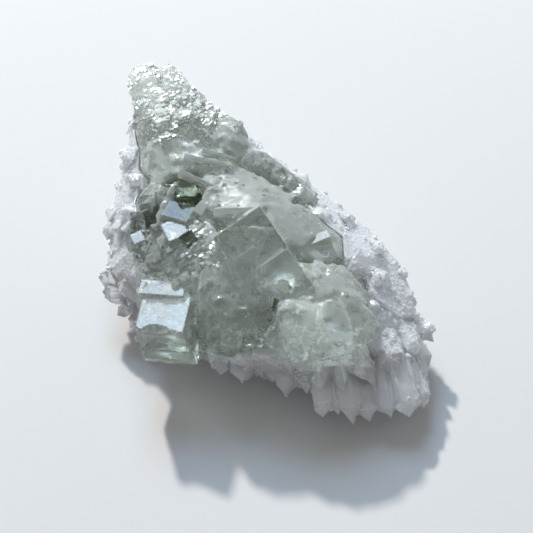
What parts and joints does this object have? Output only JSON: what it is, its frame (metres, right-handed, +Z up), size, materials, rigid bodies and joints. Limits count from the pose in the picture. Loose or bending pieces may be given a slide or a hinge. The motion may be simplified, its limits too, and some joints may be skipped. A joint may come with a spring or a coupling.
{
  "type": "green fluorite specimen",
  "caption": "Loose hand specimen: intergrown pale green fluorite cubes on white quartz druse, rising to a blunt tip at the back left.",
  "frame": {"origin": "The middle of the bounding box's base, on the surface that the specimen rests on.", "axes": "+Z up, +X to the right and -Y to the front. The raised tip is at the back left, the large cube at the front left."},
  "size_m": [0.0668, 0.0714, 0.0361],
  "materials": {
    "fluorite": "Pale grey-green clear crystal, partly etched and sparkling, with smooth cube faces.",
    "quartz": "Colourless to white druse of small six-sided points, milky inside, clear at the tips."
  },
  "bodies": {
    "root": {"fluorite_crystals": "fluorite", "quartz_matrix": "quartz"}
  },
  "joints": []
}
